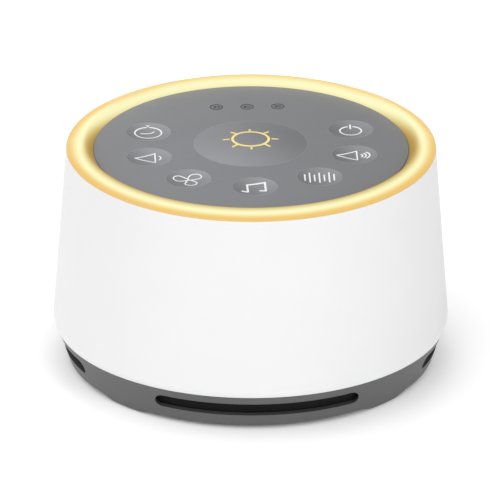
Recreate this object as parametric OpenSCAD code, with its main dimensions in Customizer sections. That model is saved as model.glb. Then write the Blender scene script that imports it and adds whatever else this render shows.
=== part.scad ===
// White noise sound machine: a round table unit with a glowing ring, eight push keys on top
// and a speaker that fires down into a slotted base. Millimetres, +Z up, front towards -Y,
// origin at the centre of the base on the floor.

/* [Housing] */
// Widest diameter of the body
body_d = 108; // [100:1:116]
// Height of the body's widest line
wide_z = 13; // [12:0.5:16]
// Height of the shell's top edge
shell_top_z = 61.45; // [60:0.5:70]
// Radius lost by the shell from its widest line to its top edge
shell_lean = 3.6; // [2:0.2:5]
// Radius of the rounding under the widest line
shell_round = 3.5; // [3:0.1:4.5]
// Wall of the outer shell
shell_wall = 2.2; // [1.8:0.1:2.6]

/* [Base] */
// Height of the seam between base and shell
seam_z = 10.9; // [10.2:0.1:11.5]
// Step of the base inside the body's widest line at the seam
base_step = 0.7; // [0.6:0.1:1.4]
// Radius lost by the base from the seam to its lower rim
base_taper = 3.3; // [2.8:0.1:4.2]
// Height of the lower rim between the feet
rim_z = 1.4; // [1:0.1:1.8]
// Wall of the base
base_wall = 1.9; // [1.5:0.1:2.1]
// Floor of the base
base_floor = 2; // [1.6:0.1:2.4]
// Height of the sound slots
slot_h = 3.9; // [3:0.1:4]
// Lower edge of the sound slots
slot_z = 4.6; // [4.4:0.1:5]
// Angle covered by the front slot and by the rear slot
front_slot_angle = 64.4; // [50:0.4:68]
// Angle covered by each side slot
side_slot_angle = 54; // [40:1:58]

/* [Feet] */
// Flat width of a foot lobe, as an angle
lobe_flat_angle = 10; // [8:0.5:12]
// Full width of a foot lobe with its blends, as an angle
lobe_full_angle = 23; // [20:0.5:26]
// Radius of a rubber foot pad
pad_r = 3.6; // [3.3:0.1:3.8]
// Thickness of a rubber foot pad
pad_t = 0.9; // [0.8:0.1:1]
// Distance of the feet's middles inside the lower rim
foot_inset = 8.4; // [7.8:0.1:9]

/* [Top] */
// Width of the light ring
ring_w = 7.1; // [6.6:0.1:7.6]
// Depth of the key panel's surface below the shell's top edge
panel_drop = 0.25; // [0.1:0.05:0.6]
// Thickness of the key panel
panel_t = 2; // [1.6:0.1:2.4]
// Bevel round the key panel's edge
panel_bevel = 0.3; // [0.1:0.05:0.4]
// Height of the light ring's crest above the panel
crest_h = 2.25; // [1.8:0.05:2.6]
// Distance of the light ring's crest from the ring's inner edge
crest_in = 2.5; // [2:0.1:3.2]
// Rounding of the light ring's crest
crest_round = 1.3; // [1:0.1:1.6]
// Depth of the groove between the key panel and the light ring
groove_h = 0.5; // [0.35:0.05:0.8]

/* [Keys] */
// Radius of the light key in the middle
light_key_r = 15.5; // [13:0.5:16]
// Radius of each small key
small_key_r = 6.1; // [5.4:0.1:6.4]
// Distance of the small keys' circle from the panel's edge
key_margin = 14; // [13.4:0.1:14.6]
// Distance of the key group behind the axis
key_group_y = 3; // [1.8:0.1:3.8]
// Rise of the light key's crown
light_key_rise = 1.1; // [0.6:0.1:1.5]
// Depth of a small key's dish
small_key_dish = 0.5; // [0.3:0.1:0.8]
// Travel of every key
key_travel = 0.5; // [0.3:0.1:0.6]
// Angle from the front key to the fan key and to the noise key
inner_key_angle = 37.6; // [36:0.4:40]
// Angle from the front key to the volume keys
volume_key_angle = 73.5; // [71:0.5:76]
// Angle from the front key to the timer key and to the power key
rear_key_angle = 108; // [105:0.5:112]
// Radius of a timer window
window_r = 1.9; // [1.5:0.1:2.2]
// Distance between timer windows
window_pitch = 8.45; // [7.5:0.1:9]
// Distance of the timer windows from the panel's rear edge
window_margin = 14.7; // [14:0.1:15.6]

/* [Electronics] */
// Thickness of both circuit boards
board_t = 1.6; // [1.2:0.2:1.6]
// Depth of the key board's underside below the panel's surface
key_board_depth = 11.2; // [10.7:0.1:12]
// Distance of the key board's edge inside the reflector tray's outer face
key_board_inset = 0.7; // [0.4:0.1:0.8]
// Side of a switch
switch_w = 6; // [5:0.2:6.4]
// Height of a switch's body
switch_h = 3.5; // [3:0.1:3.8]
// Radius of a switch's plunger
plunger_r = 1.75; // [1.4:0.05:1.9]
// Number of lamps under the light ring
ring_lamp_count = 12; // [8:1:16]
// Width of the main board
main_board_w = 36; // [34:1:37]
// Gap between the speaker's flange and the main board's front edge
board_front_gap = 0.5; // [0.3:0.1:1]
// Gap between the main board and the wall behind it
main_board_gap = 2.1; // [1.7:0.1:2.4]
// Height of the main board above the baffle
main_board_lift = 5.1; // [4:0.1:6]

/* [Ports] */
// Distance of each port from the middle of the rear
port_x = 7; // [6.5:0.1:8]
// Radius of the phone jack's bore
jack_bore_r = 1.8; // [1.75:0.05:1.9]
// Depth of the phone jack's bore
jack_bore_l = 13.5; // [12:0.5:14]
// Radius of the phone jack's nose
jack_nose_r = 2.8; // [2.5:0.1:2.9]
// Width of the power inlet
inlet_w = 8.94; // [8.34:0.1:9.14]
// Height of the power inlet
inlet_h = 3.26; // [3:0.1:3.4]
// Length of the power inlet
inlet_l = 7.3; // [6.5:0.1:8]

/* [Speaker] */
// Radius of the speaker's opening
speaker_open_r = 21; // [20:0.1:21.5]
// Width of the speaker's flange
speaker_flange_w = 6; // [5.6:0.1:6.2]
// Radius of the speaker's magnet
magnet_r = 16; // [14:0.5:17]
// Thickness of the speaker's magnet
magnet_t = 7; // [5:0.5:8]
// Radius of the voice coil's former
coil_r = 6.45; // [6:0.05:6.6]
// Travel of the cone each way
cone_travel = 1; // [0.5:0.1:1.2]
// Thickness of the speaker baffle
baffle_t = 2.5; // [2:0.1:3]

/* [Clearances] */
// Gap round each key
key_gap = 0.12; // [0.08:0.02:0.3]
// Gap between a key's flange and the panel
flange_gap = 0.05; // [0.03:0.01:0.1]
// Gap round parts that are slipped together
slip_gap = 0.15; // [0.1:0.05:0.2]
// Gap round a screw's shank
shank_gap = 0.05; // [0.03:0.01:0.1]

/* [Hidden] */
$fn = 96;
eps = 0.01;

// colours
white_body = "whitesmoke";
warm_light = "moccasin";
panel_grey = "darkgray";
key_grey = "gray";
base_grey = "dimgray";
near_black = "#26262a";
board_green = "#1f5a3a";
steel = "silver";

// radius of the shell's outer cone at a height
function shell_outer_r(z) = body_d / 2 - (z - wide_z) * shell_lean / (shell_top_z - wide_z);
function shell_inner_r(z) = shell_outer_r(z) - shell_wall;
// the base's radii, from the body's widest line inwards
base_top_r = body_d / 2 - base_step;
base_low_r = base_top_r - base_taper;
foot_circle_r = base_low_r - foot_inset;
// radius of the base's outer cone at a height
base_slope = (base_top_r - base_low_r) / (seam_z - rim_z);
function base_outer_r(z) = base_low_r + (z - rim_z) * base_slope;
function base_inner_r(z) = base_outer_r(z) - base_wall;

// the shell's rounding is an arc that leaves its cone at the widest line
lean_angle = atan(shell_lean / (shell_top_z - wide_z));
round_x = body_d / 2 - shell_round * cos(lean_angle);
round_z = wide_z - shell_round * sin(lean_angle);
round_end = asin((seam_z - round_z) / shell_round);
arc_steps = 8;

// the base slips into the shell with a spigot that carries the baffle
spigot_h = 2.5;
spigot_t = 2;
spigot_r = shell_inner_r(seam_z + spigot_h) - slip_gap;
baffle_z = seam_z + spigot_h;
baffle_top_z = baffle_z + baffle_t;
baffle_r = shell_inner_r(baffle_top_z) - slip_gap;
floor_top_z = rim_z + base_floor;

// four screws come up through the feet
foot_angles = [225, 315, 135, 45];
screw_r = 1.4;
screw_head_r = 2.7;
screw_head_h = 2;
tower_r = 4.4;
tower_seat_z = 5.2;
boss_r = 4;
boss_h = 16;
base_screw_grip = 12;
lobe_low_z = 0.4;
lobe_reach = 6.5;
lobe_in_r = foot_circle_r - lobe_reach;
pad_recess_r = pad_r + slip_gap;

// stack at the top, hung from the shell's top edge
ring_gap = 0.1;
tray_gap = 0.2;
panel_z = shell_top_z - panel_drop;
panel_under_z = panel_z - panel_t;
ring_out_r = shell_outer_r(shell_top_z) - ring_gap;
ring_in_r = ring_out_r - ring_w;
ring_foot_z = panel_z - groove_h;
ring_low_drop = 0.3;
ring_low_z = panel_under_z - ring_low_drop;
panel_r = ring_in_r - ring_gap;
tray_out_r = shell_inner_r(shell_top_z) - tray_gap;
tray_wall = 1.25;
tray_floor_t = 1;
lamp_room = 1.4;
lamp_offset = 0.6;
key_board_z = panel_z - key_board_depth;
key_board_r = tray_out_r - key_board_inset;
key_board_top_z = key_board_z + board_t;
ledge_t = 1.6;
ledge_hold = 1.4;
ledge_in_r = key_board_r - ledge_hold;
lamp_circle_r = (tray_out_r + ring_in_r) / 2 - lamp_offset;
panel_seat_r = ring_in_r - tray_wall - ring_gap;
post_angles = [-108, -72, 0, 55, 125, 180];
post_r = 2.9;
post_inset = 3.3;
post_circle_r = panel_seat_r - post_inset;

// the light ring's crest is an arc that its two slopes leave without a corner
crest_z = panel_z + crest_h;
crest_r = ring_in_r + crest_in;
crest_mid_z = crest_z - crest_round;
function slope_angle(x, z) = atan2(z - crest_mid_z, x - crest_r);
function slope_reach(x, z) = acos(crest_round / norm([x - crest_r, z - crest_mid_z]));
crest_out_angle = slope_angle(ring_out_r, shell_top_z) + slope_reach(ring_out_r, shell_top_z);
crest_in_angle = 360 + slope_angle(ring_in_r, ring_foot_z) - slope_reach(ring_in_r, ring_foot_z);
small_screw_r = 1;
small_head_r = 1.9;
small_head_h = 1.2;
small_screw_grip = 5;

// keys: name order is light, music, fan, noise, volume down, volume up, timer, power
key_circle_r = panel_r - key_margin;
window_y = panel_r - window_margin;
key_flange_over = 0.9;
key_flange_t = 1;
key_stem_r = 2.2;
key_flange_z = panel_under_z - flange_gap;
switch_top_z = key_board_top_z + switch_h;
plunger_out = 1;
plunger_in = 1.6;
plunger_top_z = switch_top_z + plunger_out;
function key_place(turn) = [
    key_circle_r * sin(turn),
    key_group_y - key_circle_r * cos(turn)
];
light_place = [0, key_group_y];
music_place = key_place(0);
fan_place = key_place(-inner_key_angle);
noise_place = key_place(inner_key_angle);
volume_down_place = key_place(-volume_key_angle);
volume_up_place = key_place(volume_key_angle);
timer_place = key_place(-rear_key_angle);
power_place = key_place(rear_key_angle);
small_key_places = [
    music_place, fan_place, noise_place, volume_down_place, volume_up_place, timer_place,
    power_place
];
window_places = [for (i = [-1 : 1]) [i * window_pitch, window_y]];
window_flange_over = 0.7;
window_flange_r = window_r + window_flange_over;
window_flange_t = 0.8;
lamp_h = 0.8;

// main board and ports
main_board_z = baffle_top_z + main_board_lift;
main_board_top_z = main_board_z + board_t;
port_recess_depth = 2.1;
port_face_depth = 0.4;
port_recess_y = shell_outer_r(main_board_top_z) - port_recess_depth;
port_face_y = port_recess_y - port_face_depth;
port_block_t = 2.6;
port_block_side = 9;
port_block_under = 3;
port_block_over = 9;
port_block_w = 2 * (port_x + port_block_side);
port_block_low = main_board_z - port_block_under;
port_block_high = main_board_top_z + port_block_over;
port_recess_edge = 2;
speaker_r = speaker_open_r + speaker_flange_w;
main_board_y = speaker_r + board_front_gap;
main_board_rear_y = port_recess_y - port_block_t - main_board_gap;
main_board_d = main_board_rear_y - main_board_y;
jack_body_w = 6.4;
jack_body_h = 6;
jack_nose_root = 0.6;
jack_axis_z = main_board_top_z + jack_body_h / 2;
jack_nose_l = port_face_y - main_board_rear_y + jack_nose_root;
inlet_mid_z = main_board_top_z + inlet_h / 2;
board_post_inset = 2.8;
board_post_r = 2.2;
board_post_x = main_board_w / 2 - board_post_inset;
board_post_ys = [main_board_y + board_post_inset, main_board_rear_y - board_post_inset];

// speaker, from its mouth upwards
gasket_t = 0.5;
flange_z = baffle_top_z + gasket_t;
flange_t = 1.2;
speaker_screw_inset = 2.3;
speaker_screw_circle = speaker_r - speaker_screw_inset;
speaker_screw_r = 1.2;
speaker_head_r = 1.7;
speaker_head_h = 1.1;
basket_t = 0.8;
basket_low_r = speaker_open_r + 1;
basket_high_r = magnet_r - 1.2;
basket_h = 9.4;
basket_collar_h = 3;
basket_lip = 2;
basket_window_w = 11;
basket_window_edge = 1.3;
basket_top_z = flange_z + flange_t + basket_h;
plate_t = 2.4;
plate_r = magnet_r - 1;
plate_top_z = basket_top_z + plate_t;
magnet_top_z = plate_top_z + magnet_t;
yoke_t = 2;
coil_t = 0.3;
winding_t = 0.25;
gap_in = 0.3;
pole_r = coil_r - gap_in;
gap_out_r = coil_r + coil_t + winding_t + gap_in;
paper_t = 0.4;
cone_neck_h = 7;
cone_edge_h = 1.1;
cone_edge_in = 2.6;
coil_below_neck = 0.6;
coil_above_plate = 1;
cone_neck_z = flange_z + cone_neck_h;
coil_low_z = cone_neck_z - coil_below_neck;
coil_high_z = plate_top_z + coil_above_plate;
cone_edge_r = speaker_open_r - cone_edge_in;
cone_edge_z = flange_z + cone_edge_h;
cone_neck_r = coil_r + coil_t;
surround_out_r = speaker_open_r + 0.9;
roll_r = (speaker_open_r - cone_edge_r) / 2;
spider_drop = 2.3;
spider_z = basket_top_z - spider_drop;
spider_out_r = basket_high_r - basket_t - 0.1;
spider_waves = 3;
spider_rise = 0.5;
terminal_inset = 3;
terminal_y = speaker_r - terminal_inset;
terminal_x = 3.2;
terminal_h = 3.4;
terminal_t = 1.2;
tab_w = 1.8;
tab_l = 1.4;
tab_h = 2.2;
tab_y = (terminal_t + tab_l) / 2 - eps;
lead_r = 0.6;

module at_angles(radius, angles) {
    for (a = angles)
        rotate([0, 0, a])
            translate([radius, 0, 0])
                children();
}

module tube(r_out, r_in, z, h) {
    translate([0, 0, z])
        difference() {
            cylinder(r = r_out, h = h);
            translate([0, 0, -eps]) cylinder(r = r_in, h = h + 2 * eps);
        }
}

module rod(r, z, h) {
    translate([0, 0, z]) cylinder(r = r, h = h);
}

// a box that stands on z, centred on x and y
module block(w, d, z, h) {
    translate([-w / 2, -d / 2, z]) cube([w, d, h]);
}

// ---- outer shell -------------------------------------------------------------------------

module shell_wall_profile() {
    polygon(concat(
        [for (i = [0 : arc_steps])
            let (a = round_end + (lean_angle - round_end) * i / arc_steps)
            [round_x + shell_round * cos(a), round_z + shell_round * sin(a)]],
        [
            [shell_outer_r(shell_top_z), shell_top_z],
            [shell_inner_r(shell_top_z), shell_top_z],
            [shell_inner_r(seam_z), seam_z]
        ]
    ));
}

// the ledge under the key board, with a sloped underside
module ledge_profile() {
    polygon([
        [ledge_in_r, key_board_z],
        [shell_inner_r(key_board_z) + 0.5, key_board_z],
        [shell_inner_r(key_board_z) + 0.5, key_board_z - 2 * ledge_t],
        [ledge_in_r, key_board_z - ledge_t]
    ]);
}

module port_block() {
    intersection() {
        translate([-port_block_w / 2, port_recess_y - port_block_t, port_block_low])
            cube([port_block_w, shell_wall + 2 * port_block_t, port_block_high - port_block_low]);
        cylinder(r = shell_outer_r(port_block_high) - 0.4, h = shell_top_z);
    }
}

module port_cuts() {
    recess_w = port_block_w - 2 * port_recess_edge;
    recess_h = port_block_high - port_block_low - 2 * port_recess_edge;
    translate([-recess_w / 2, port_recess_y, port_block_low + port_recess_edge])
        cube([recess_w, 2 * port_block_t, recess_h]);
    translate([-port_x, port_recess_y + eps, jack_axis_z])
        rotate([90, 0, 0])
            cylinder(r = jack_nose_r + slip_gap, h = 2 * port_block_t);
    translate([port_x, port_recess_y + eps, inlet_mid_z])
        rotate([90, 0, 0])
            inlet_outline(inlet_w + 2 * slip_gap, inlet_h + 2 * slip_gap, 2 * port_block_t);
}

module outer_shell() {
    color(white_body)
        difference() {
            union() {
                rotate_extrude() shell_wall_profile();
                rotate_extrude() ledge_profile();
                port_block();
                intersection() {
                    at_angles(foot_circle_r, foot_angles)
                        union() {
                            rod(boss_r, baffle_top_z, boss_h);
                            translate([0, -1, baffle_top_z])
                                cube([shell_inner_r(wide_z) - foot_circle_r + 0.5, 2, boss_h]);
                        }
                    cylinder(r = shell_outer_r(baffle_top_z + boss_h) - 0.4, h = shell_top_z);
                }
            }
            port_cuts();
            at_angles(foot_circle_r, foot_angles)
                rod(screw_r + shank_gap, baffle_top_z - eps, base_screw_grip + 1);
        }
}

// ---- light ring and its tray ------------------------------------------------------------

module light_ring() {
    color(warm_light)
        rotate_extrude()
            polygon(concat(
                [
                    [tray_out_r, ring_low_z],
                    [tray_out_r, shell_top_z],
                    [ring_out_r, shell_top_z]
                ],
                [for (i = [0 : arc_steps])
                    let (a = crest_out_angle + (crest_in_angle - crest_out_angle) * i / arc_steps)
                    [crest_r + crest_round * cos(a), crest_mid_z + crest_round * sin(a)]],
                [
                    [ring_in_r, ring_foot_z],
                    [ring_in_r, ring_low_z]
                ]
            ));
}

module reflector_tray() {
    color("white")
        difference() {
            union() {
                tube(tray_out_r, tray_out_r - tray_wall, key_board_top_z,
                    ring_low_z - key_board_top_z);
                tube(ring_in_r - 0.1, panel_seat_r, key_board_top_z,
                    panel_under_z - key_board_top_z);
                tube(tray_out_r - tray_wall / 2, panel_seat_r + tray_wall / 2,
                    key_board_top_z + lamp_room, tray_floor_t);
            }
            for (i = [0 : ring_lamp_count - 1])
                rotate([0, 0, i * 360 / ring_lamp_count])
                    translate([lamp_circle_r, 0, 0])
                        rod(1.5, key_board_top_z + lamp_room - eps, tray_floor_t + 2 * eps);
        }
}

module ring_lamps() {
    color("lightyellow")
        for (i = [0 : ring_lamp_count - 1])
            rotate([0, 0, i * 360 / ring_lamp_count])
                translate([lamp_circle_r, 0, 0])
                    block(2.2, 3.2, key_board_top_z, 1);
}

// ---- panel and keys ----------------------------------------------------------------------

module top_panel() {
    color(panel_grey)
        difference() {
            union() {
                rod(panel_r, panel_under_z, panel_t - panel_bevel);
                translate([0, 0, panel_z - panel_bevel])
                    cylinder(r1 = panel_r, r2 = panel_r - panel_bevel, h = panel_bevel);
                at_angles(post_circle_r, post_angles)
                    rod(post_r, key_board_top_z, panel_under_z - key_board_top_z + eps);
            }
            translate([light_place[0], light_place[1], 0])
                rod(light_key_r + key_gap, panel_under_z - eps, panel_t + 2 * eps);
            for (p = small_key_places)
                translate([p[0], p[1], 0])
                    rod(small_key_r + key_gap, panel_under_z - eps, panel_t + 2 * eps);
            for (p = window_places)
                translate([p[0], p[1], 0])
                    rod(window_r + slip_gap, panel_under_z - eps, panel_t + 2 * eps);
            at_angles(post_circle_r, post_angles)
                rod(small_screw_r + shank_gap, key_board_top_z - eps, small_screw_grip + 0.5);
        }
}

module key_base(r) {
    rod(r + key_flange_over, key_flange_z - key_flange_t, key_flange_t);
    rod(key_stem_r, plunger_top_z, key_flange_z - key_flange_t - plunger_top_z + eps);
}

// a turned cap whose top rises or dips towards its middle
cap_steps = 10;

module cap(r, low_z, edge_z, rise) {
    rotate_extrude()
        polygon(concat(
            [[0, low_z], [r, low_z]],
            [for (i = [cap_steps : -1 : 0])
                let (s = i / cap_steps)
                [r * s, edge_z + rise * (1 - s * s)]]
        ));
}

module small_key(place) {
    color(key_grey)
        translate([place[0], place[1], 0]) {
            key_base(small_key_r);
            cap(small_key_r, key_flange_z - eps, panel_z, -small_key_dish);
        }
}

module key_light() {
    color(key_grey)
        translate([light_place[0], light_place[1], 0]) {
            key_base(light_key_r);
            cap(light_key_r, key_flange_z - eps, panel_z, light_key_rise);
        }
}

module key_music() { small_key(music_place); }
module key_fan() { small_key(fan_place); }
module key_noise() { small_key(noise_place); }
module key_volume_down() { small_key(volume_down_place); }
module key_volume_up() { small_key(volume_up_place); }
module key_timer() { small_key(timer_place); }
module key_power() { small_key(power_place); }

module plunger(place) {
    color(near_black)
        translate([place[0], place[1], 0])
            rod(plunger_r, switch_top_z - plunger_in, plunger_in + plunger_out);
}

module plunger_light() { plunger(light_place); }
module plunger_music() { plunger(music_place); }
module plunger_fan() { plunger(fan_place); }
module plunger_noise() { plunger(noise_place); }
module plunger_volume_down() { plunger(volume_down_place); }
module plunger_volume_up() { plunger(volume_up_place); }
module plunger_timer() { plunger(timer_place); }
module plunger_power() { plunger(power_place); }

module switch_bodies() {
    color(near_black)
        for (p = concat([light_place], small_key_places))
            translate([p[0], p[1], 0])
                difference() {
                    block(switch_w, switch_w, key_board_top_z, switch_h);
                    rod(plunger_r + slip_gap, switch_top_z - plunger_in - key_travel - slip_gap,
                        switch_h);
                }
}

module timer_windows() {
    window_low_z = key_board_top_z + lamp_h + slip_gap;
    color("lightgray")
        for (p = window_places)
            translate([p[0], p[1], 0]) {
                rod(window_r, window_low_z, panel_z - window_low_z);
                rod(window_flange_r, panel_under_z - window_flange_t, window_flange_t);
            }
}

module timer_lamps() {
    color("lightyellow")
        for (p = window_places)
            translate([p[0], p[1], 0])
                block(1.6, 0.8, key_board_top_z, lamp_h);
}

// ---- key board ---------------------------------------------------------------------------

module key_board() {
    color(board_green)
        difference() {
            rod(key_board_r, key_board_z, board_t);
            at_angles(post_circle_r, post_angles)
                rod(small_screw_r + 0.2, key_board_z - eps, board_t + 2 * eps);
        }
}

module key_board_screws() {
    color(steel)
        at_angles(post_circle_r, post_angles)
            union() {
                rod(small_head_r, key_board_z - small_head_h, small_head_h);
                rod(small_screw_r, key_board_z - eps, board_t + small_screw_grip + eps);
            }
}

connector_w = 12;
connector_d = 3.4;
connector_h = 4.2;
connector_x = 3.5;
ribbon_in = 6;
ribbon_y = main_board_y + ribbon_in;
ribbon_t = 0.6;
ribbon_w = 9;
ribbon_sway = 2.2;
ribbon_steps = 12;

module key_board_connector() {
    color("ivory")
        translate([connector_x, ribbon_y, 0])
            block(connector_w, connector_d, key_board_z - connector_h, connector_h);
}

module main_board_connector() {
    color("ivory")
        translate([connector_x, ribbon_y, 0])
            block(connector_w, connector_d, main_board_top_z, connector_h);
}

module ribbon_cable() {
    low_z = main_board_top_z + connector_h;
    high_z = key_board_z - connector_h;
    middle = [for (i = [0 : ribbon_steps])
        let (s = i / ribbon_steps)
        [ribbon_sway * sin(360 * s) * sin(180 * s), low_z + (high_z - low_z) * s]];
    color("lightgray")
        translate([connector_x - ribbon_w / 2, ribbon_y, 0])
            rotate([90, 0, 90])
                linear_extrude(height = ribbon_w)
                    polygon(concat(
                        [for (p = middle) [p[0] - ribbon_t / 2, p[1]]],
                        [for (i = [ribbon_steps : -1 : 0])
                            [middle[i][0] + ribbon_t / 2, middle[i][1]]]
                    ));
}

// ---- base --------------------------------------------------------------------------------

module base_profile() {
    polygon([
        [0, lobe_low_z],
        [base_outer_r(lobe_low_z), lobe_low_z],
        [base_top_r, seam_z],
        [spigot_r, seam_z],
        [spigot_r, baffle_z],
        [spigot_r - spigot_t, baffle_z],
        [spigot_r - spigot_t, seam_z - 0.4],
        [base_inner_r(cloth_high_z), cloth_high_z],
        [base_inner_r(floor_top_z), floor_top_z],
        [0, floor_top_z]
    ]);
}

// side view of one foot: a flat with a smooth blend up to the rim on each side
lobe_steps = 8;
lobe_flat = base_low_r * sin(lobe_flat_angle / 2);
lobe_full = base_low_r * sin(lobe_full_angle / 2);
lobe_over_z = rim_z + 1;

module lobe_profile() {
    blend = [for (i = [0 : lobe_steps])
        let (s = i / lobe_steps)
        [
            lobe_flat + (lobe_full - lobe_flat) * s,
            lobe_low_z + (rim_z - lobe_low_z) * (1 - cos(180 * s)) / 2
        ]];
    polygon(concat(
        blend,
        [[lobe_full, lobe_over_z], [-lobe_full, lobe_over_z]],
        [for (i = [lobe_steps : -1 : 0]) [-blend[i][0], blend[i][1]]]
    ));
}

// what is cut away below the rim, between the feet
module rim_cut() {
    difference() {
        rod(body_d, -1, rim_z + 1);
        for (a = foot_angles)
            rotate([0, 0, a])
                translate([lobe_in_r, 0, 0])
                    rotate([90, 0, 90])
                        linear_extrude(height = body_d / 2 - lobe_in_r) lobe_profile();
    }
}

// one slot centred on +X, seen along X: a bar with round ends
slot_end_steps = 8;

module sound_slot(angle) {
    end_r = slot_h / 2;
    half_w = base_outer_r(slot_z + end_r) * sin(angle / 2) - end_r;
    inner_x = base_inner_r(slot_z) * cos(angle / 2) - 3;
    translate([inner_x, 0, slot_z + end_r])
        rotate([90, 0, 90])
            linear_extrude(height = body_d / 2 - inner_x)
                polygon([for (side = [1, -1], i = [0 : slot_end_steps])
                    let (a = side * 90 - 180 + 180 * i / slot_end_steps)
                    [side * half_w + end_r * cos(a), end_r * sin(a)]]);
}

module base_housing() {
    color(base_grey)
        difference() {
            union() {
                rotate_extrude() base_profile();
                at_angles(foot_circle_r, foot_angles)
                    rod(tower_r, floor_top_z - eps, baffle_z - floor_top_z + eps);
            }
            rim_cut();
            for (a = [90, 270]) rotate([0, 0, a]) sound_slot(front_slot_angle);
            for (a = [0, 180]) rotate([0, 0, a]) sound_slot(side_slot_angle);
            at_angles(foot_circle_r, foot_angles)
                union() {
                    rod(pad_recess_r, -eps, pad_t + eps);
                    rod(screw_head_r + slip_gap, 0, tower_seat_z);
                    rod(screw_r + slip_gap, tower_seat_z - eps, baffle_z);
                }
        }
}

module foot_pad(angle) {
    color(near_black) at_angles(foot_circle_r, [angle]) rod(pad_r, 0, pad_t);
}

module foot_pad_front_left() { foot_pad(foot_angles[0]); }
module foot_pad_front_right() { foot_pad(foot_angles[1]); }
module foot_pad_rear_left() { foot_pad(foot_angles[2]); }
module foot_pad_rear_right() { foot_pad(foot_angles[3]); }

module base_screws() {
    color(steel)
        at_angles(foot_circle_r, foot_angles)
            union() {
                rod(screw_head_r, tower_seat_z - screw_head_h, screw_head_h);
                rod(screw_r, tower_seat_z - eps,
                    baffle_top_z + base_screw_grip - tower_seat_z + eps);
            }
}

// a cloth band behind the slots, parallel to the base's wall
cloth_t = 0.5;
cloth_gap = 0.1;
cloth_high_z = slot_z + slot_h + 0.6;

module slot_cloth() {
    color(near_black)
        rotate_extrude()
            polygon([
                [base_inner_r(floor_top_z) - cloth_gap, floor_top_z],
                [base_inner_r(cloth_high_z) - cloth_gap, cloth_high_z],
                [base_inner_r(cloth_high_z) - cloth_gap - cloth_t, cloth_high_z],
                [base_inner_r(floor_top_z) - cloth_gap - cloth_t, floor_top_z]
            ]);
}

// ---- speaker -----------------------------------------------------------------------------

speaker_screw_angles = [45, 135, 225, 315];

module speaker_baffle() {
    color(near_black)
        difference() {
            union() {
                rod(baffle_r, baffle_z, baffle_t);
                for (x = [-board_post_x, board_post_x], y = board_post_ys)
                    translate([x, y, 0])
                        rod(board_post_r, baffle_top_z - eps, main_board_lift + eps);
            }
            rod(speaker_open_r, baffle_z - eps, baffle_t + 2 * eps);
            at_angles(foot_circle_r, foot_angles)
                rod(screw_r + slip_gap, baffle_z - eps, baffle_t + 2 * eps);
            at_angles(speaker_screw_circle, speaker_screw_angles)
                rod(speaker_screw_r + shank_gap, baffle_z - eps, baffle_t + 2 * eps);
            for (x = [-board_post_x, board_post_x], y = board_post_ys)
                translate([x, y, 0])
                    rod(small_screw_r + shank_gap, baffle_top_z + 0.3, main_board_lift);
        }
}

module speaker_gasket() {
    color(near_black)
        difference() {
            tube(speaker_r, speaker_open_r, baffle_top_z, gasket_t);
            at_angles(speaker_screw_circle, speaker_screw_angles)
                rod(speaker_screw_r + slip_gap, baffle_top_z - eps, gasket_t + 2 * eps);
        }
}

module speaker_frame() {
    window_low = flange_z + flange_t + basket_window_edge;
    window_high = basket_top_z - basket_collar_h - basket_window_edge / 2;
    color(near_black)
        difference() {
            rotate_extrude()
                polygon([
                    [speaker_open_r, flange_z],
                    [speaker_r, flange_z],
                    [speaker_r, flange_z + flange_t],
                    [basket_low_r + basket_t, flange_z + flange_t],
                    [basket_high_r, basket_top_z - basket_collar_h],
                    [basket_high_r, basket_top_z],
                    [gap_out_r + basket_lip, basket_top_z],
                    [gap_out_r + basket_lip, basket_top_z - basket_t],
                    [basket_high_r - basket_t, basket_top_z - basket_t],
                    [basket_high_r - basket_t, basket_top_z - basket_collar_h],
                    [basket_low_r, flange_z + flange_t],
                    [surround_out_r, flange_z + flange_t - 0.4],
                    [surround_out_r, flange_z + 0.6],
                    [speaker_open_r, flange_z + 0.6]
                ]);
            at_angles(speaker_screw_circle, speaker_screw_angles)
                rod(speaker_screw_r + slip_gap, flange_z - eps, flange_t + 2 * eps);
            for (a = [0, 90, 180, 270])
                rotate([0, 0, a])
                    translate([basket_high_r - basket_collar_h, -basket_window_w / 2, window_low])
                        cube([speaker_r - basket_high_r, basket_window_w,
                            window_high - window_low]);
        }
}

module speaker_top_plate() {
    color(steel) tube(plate_r, gap_out_r, basket_top_z, plate_t);
}

module speaker_magnet() {
    color("#3c3c40") tube(magnet_r, gap_out_r + 1.4, plate_top_z, magnet_t);
}

module speaker_yoke() {
    color(steel) {
        rod(plate_r, magnet_top_z, yoke_t);
        rod(pole_r, basket_top_z, magnet_top_z - basket_top_z + eps);
    }
}

module speaker_cone() {
    color("#2c2c30")
        rotate_extrude()
            polygon([
                [cone_edge_r + 1, cone_edge_z],
                [cone_edge_r + 1, cone_edge_z + paper_t],
                [cone_edge_r, cone_edge_z + paper_t],
                [cone_neck_r, cone_neck_z + paper_t],
                [cone_neck_r, cone_neck_z],
                [cone_edge_r, cone_edge_z]
            ]);
}

// the cap's rim stands on the cone, and its crown faces the floor
cap_r = coil_r + 1.8;
cap_rise = 2.2;
cap_t = 0.35;
cap_rim_z = cone_edge_z
    + (cone_neck_z - cone_edge_z) * (cone_edge_r - cap_r) / (cone_edge_r - cone_neck_r);

module dust_cap() {
    crown = [for (i = [0 : cap_steps])
        let (s = i / cap_steps)
        [cap_r * s, cap_rim_z - cap_rise * (1 - s * s)]];
    color("#2c2c30")
        rotate_extrude()
            polygon(concat(
                crown,
                [for (i = [cap_steps : -1 : 0]) [crown[i][0], crown[i][1] - cap_t]]
            ));
}

module voice_coil() {
    color("peru") {
        tube(coil_r + coil_t, coil_r, coil_low_z, coil_high_z - coil_low_z);
        tube(coil_r + coil_t + winding_t, coil_r + coil_t - eps, basket_top_z - 0.6,
            plate_t + 1.2);
    }
}

roll_steps = 10;

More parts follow.
